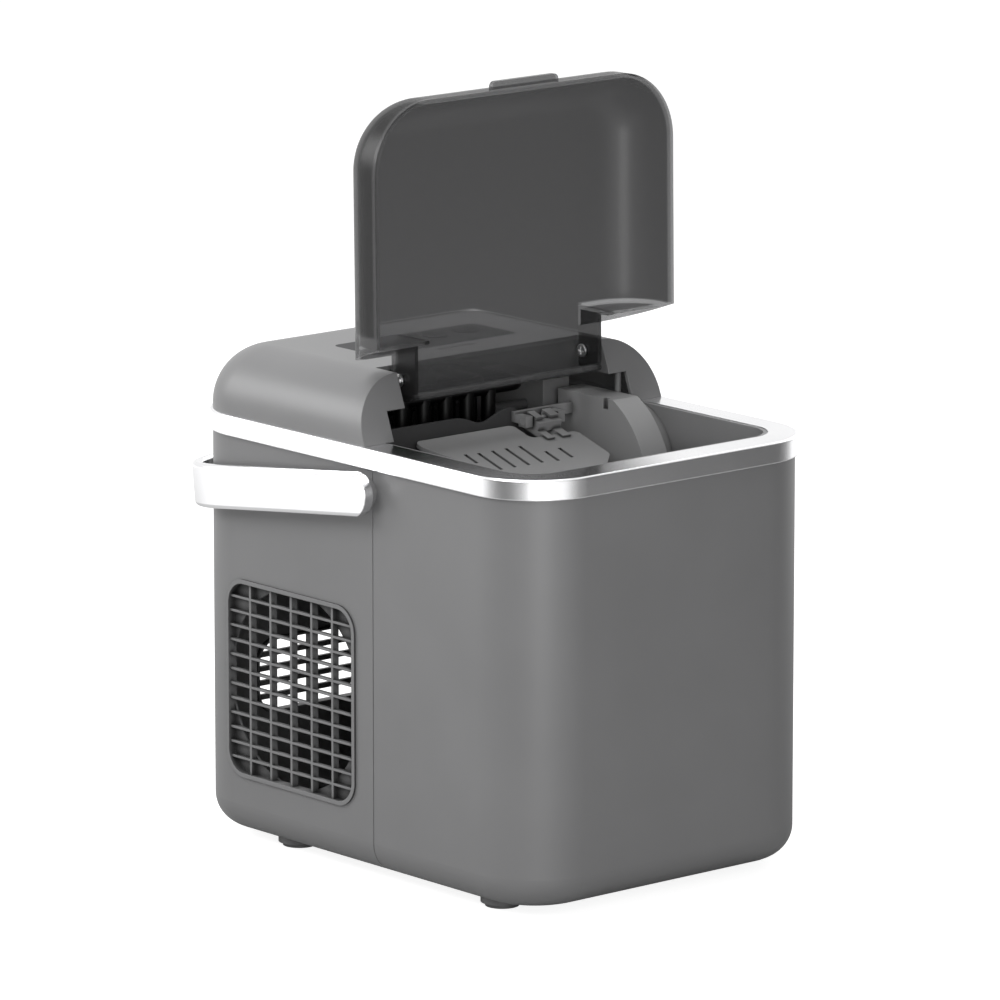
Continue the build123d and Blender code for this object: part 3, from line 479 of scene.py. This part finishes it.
# Key prints: a thin ring and a plain symbol in dark ink on each of the four keys.
# Each print is a raised line of ink on its key's face, and it moves with the key.
KEY_PITCH = 0.0226
KEY_Y = 0.06613
KEY_FACE = 0.2828
INK_TONE = (0.012, 0.012, 0.012)
INK_RISE = 0.00012
INK_RING = 0.0064
RING_POINTS = 96
INK_WIDTH = 0.0012
POWER_RADIUS = 0.003
POWER_START = 125.0
POWER_END = 415.0
POWER_POINTS = 40
POWER_BAR_LOW = 0.0008
POWER_BAR_TOP = 0.0036
SQUARE_HALF = 0.0022
DOT_RADIUS = 0.0008
DOT_POINTS = 24
WAVE_HALF = 0.0036
WAVE_RISE = 0.0012
WAVE_TURN = 1745.0
WAVE_POINTS = 31


def ink_line(points, closed):
    """A ribbon of ink along (x, y) points p: corners p + n w/2 and p - n w/2, above and below the face.

    n is the unit normal of the line at p and w the ink's width. The skin is closed all round.
    """
    points = np.asarray(points, float)
    step = np.roll(points, -1, 0) - np.roll(points, 1, 0) if closed else np.gradient(points, axis=0)
    normal = np.stack((-step[:, 1], step[:, 0]), 1)
    normal = normal / np.linalg.norm(normal, axis=1, keepdims=True)
    left = points + normal * INK_WIDTH / 2
    right = points - normal * INK_WIDTH / 2
    top = np.full((len(points), 1), KEY_FACE + INK_RISE)
    low = np.full((len(points), 1), KEY_FACE - INK_RISE)
    corners = [
        np.hstack((side, height))
        for side, height in ((left, top), (right, top), (right, low), (left, low))
    ]
    vertices = np.stack(corners, 1).reshape(-1, 3)
    count = len(points)
    first = np.arange(count if closed else count - 1)
    after = (first + 1) % count
    turn = np.array((1, 2, 3, 0))
    faces = np.stack(
        [
            np.stack((4 * first + side, 4 * first + turn[side], 4 * after + turn[side], 4 * after + side), 1)
            for side in range(4)
        ]
    ).reshape(-1, 4)
    if not closed:
        ends = np.array([(3, 2, 1, 0), np.arange(4) + 4 * (count - 1)])
        faces = np.vstack((faces, ends))
    return vertices, faces


def arc(radius, start, end, count):
    """Points of an arc about the middle of a key, from one angle to another in degrees."""
    angle = np.radians(np.linspace(start, end, count))
    return np.stack((radius * np.cos(angle), radius * np.sin(angle)), 1)


def ring(radius, count):
    """Points of a whole circle, without the first point again at the end."""
    return arc(radius, 0.0, 360.0 - 360.0 / count, count)


power_bar = np.stack((np.zeros(3), np.linspace(POWER_BAR_LOW, POWER_BAR_TOP, 3)), 1)
square = SQUARE_HALF * np.array(((-1, -1), (1, -1), (1, 1), (-1, 1)))
wave_x = np.linspace(-WAVE_HALF, WAVE_HALF, WAVE_POINTS)
wave = np.stack((wave_x, WAVE_RISE * np.sin(wave_x * WAVE_TURN)), 1)
symbols = (
    [(arc(POWER_RADIUS, POWER_START, POWER_END, POWER_POINTS), False), (power_bar, False)],
    [(square, True)],
    [(ring(DOT_RADIUS, DOT_POINTS), True)],
    [(wave, False)],
)
key_ink = moulded("key_ink", INK_TONE, roughness=0.6, bump=0.01, specular=0.02)
for number, symbol in enumerate(symbols, start=1):
    key_x = (number - (1 + len(symbols)) / 2) * KEY_PITCH
    vertices = []
    faces = []
    for points, closed in [(ring(INK_RING, RING_POINTS), True)] + symbol:
        line_vertices, line_faces = ink_line(points + np.array((key_x, KEY_Y)), closed)
        faces += (line_faces + len(vertices)).tolist()
        vertices += line_vertices.tolist()
    print_piece = mesh_object(f"key_{number}_print", vertices, faces)
    print_piece.data.materials.append(key_ink)
    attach(print_piece, f"key_{number}")


# Lid: one moulding of smoked clear plastic, a dish with a hinge tongue and two ears.
# Its tint is dense in the dish and the ears. It is paler in the tongue, below a line that
# falls to the right, partly for the thinner moulding and partly as painted light where the
# lit cover shows through; paler on the shelf right of the ears as a painted highlight; and
# paler in the rim of the dish.
LID_DENSE = (0.077, 0.077, 0.078, 1.0)
LID_PALE = (0.28, 0.28, 0.283, 1.0)
LID_CLEARNESS = 0.84
LID_ROUGHNESS = 0.02
LID_INDEX = 1.02
LID_COAT = 0.5
LID_COAT_ROUGHNESS = 0.35
TONGUE_TOP = 0.3057
TONGUE_FALL = 0.2907
TONGUE_BEND = -0.0097
TONGUE_BLUR = 0.0012
EAR_MIDDLE_X = 0.06725
EAR_HALF_THICK = 0.0018
EAR_BACK_Y = 0.0055
SHELF_X = 0.069
SHELF_TOP = 0.3025
RIM_LEAN = -0.014
RIM_PALE = -0.0297
RIM_DENSE = -0.0282

lid_clear, lid_shader = surface("smoked_clear")
lid_shader.inputs["Transmission Weight"].default_value = LID_CLEARNESS
lid_shader.inputs["Roughness"].default_value = LID_ROUGHNESS
lid_shader.inputs["IOR"].default_value = LID_INDEX
lid_shader.inputs["Coat Weight"].default_value = LID_COAT
lid_shader.inputs["Coat Roughness"].default_value = LID_COAT_ROUGHNESS
lid_tree = lid_clear.node_tree
lid_x, lid_y, lid_z = object_axes(lid_tree)
# Painted light, in part: the tongue below the falling line is paler, so more of the lit cover shows through.
past_bend = math_node(lid_tree, "MAXIMUM", lid_x, TONGUE_BEND)
level = math_node(lid_tree, "MULTIPLY_ADD", past_bend, TONGUE_FALL, lid_z)
dish = ramp(lid_tree, level, TONGUE_TOP - TONGUE_BLUR, TONGUE_TOP + TONGUE_BLUR, smooth=True)
off_middle = math_node(lid_tree, "ABSOLUTE", lid_x)
beside_tongue = math_node(lid_tree, "COMPARE", off_middle, EAR_MIDDLE_X, EAR_HALF_THICK)
before_tongue = math_node(lid_tree, "LESS_THAN", lid_y, EAR_BACK_Y)
ear = math_node(lid_tree, "MULTIPLY", beside_tongue, before_tongue)
dish_or_ear = math_node(lid_tree, "MAXIMUM", dish, ear)
# Painted highlight: the shelf right of the ears is paler.
right_of_ears = math_node(lid_tree, "GREATER_THAN", lid_x, SHELF_X)
left_of_shelf = math_node(lid_tree, "SUBTRACT", 1.0, right_of_ears)
above_shelf = math_node(lid_tree, "GREATER_THAN", lid_z, SHELF_TOP)
off_shelf = math_node(lid_tree, "MAXIMUM", left_of_shelf, above_shelf)
dense_share = math_node(lid_tree, "MULTIPLY", dish_or_ear, off_shelf)
from_rim = math_node(lid_tree, "MULTIPLY_ADD", lid_z, RIM_LEAN, lid_y)
off_rim = ramp(lid_tree, from_rim, RIM_PALE, RIM_DENSE)
dense_share_off_rim = math_node(lid_tree, "MULTIPLY", dense_share, off_rim)
feed(lid_tree, lid_shader.inputs["Base Color"], blend(lid_tree, dense_share_off_rim, LID_PALE, LID_DENSE))
wear(lid_clear, "lid")


# Machine space: the compressor, fan, pump and cord gland are black, the condenser has bare
# aluminium fins, the mounts and the drain plug are rubber, and the hoses are soft and pale.
# Most of it stands on the base plate in the rear shell and shows only through the grilles.
MACHINE_BLACK = (0.02, 0.02, 0.02)
RUBBER_BLACK = (0.03, 0.03, 0.03)
HOSE_GREY = (0.3, 0.3, 0.29)
FIN_TONE = (0.4, 0.4, 0.41)

machine_black = moulded("machine_black", MACHINE_BLACK, roughness=0.5)
wear(machine_black, "compressor", "fan_shroud", "fan_motor", "fan_blades", "water_pump", "cord_gland")
wear(moulded("rubber_black", RUBBER_BLACK, roughness=0.7), "compressor_mounts", "drain_plug")
wear(moulded("hose_grey", HOSE_GREY, roughness=0.5), "water_hose", "drain_tube")
wear(plated("fin_aluminium", FIN_TONE, roughness=0.4), "condenser")
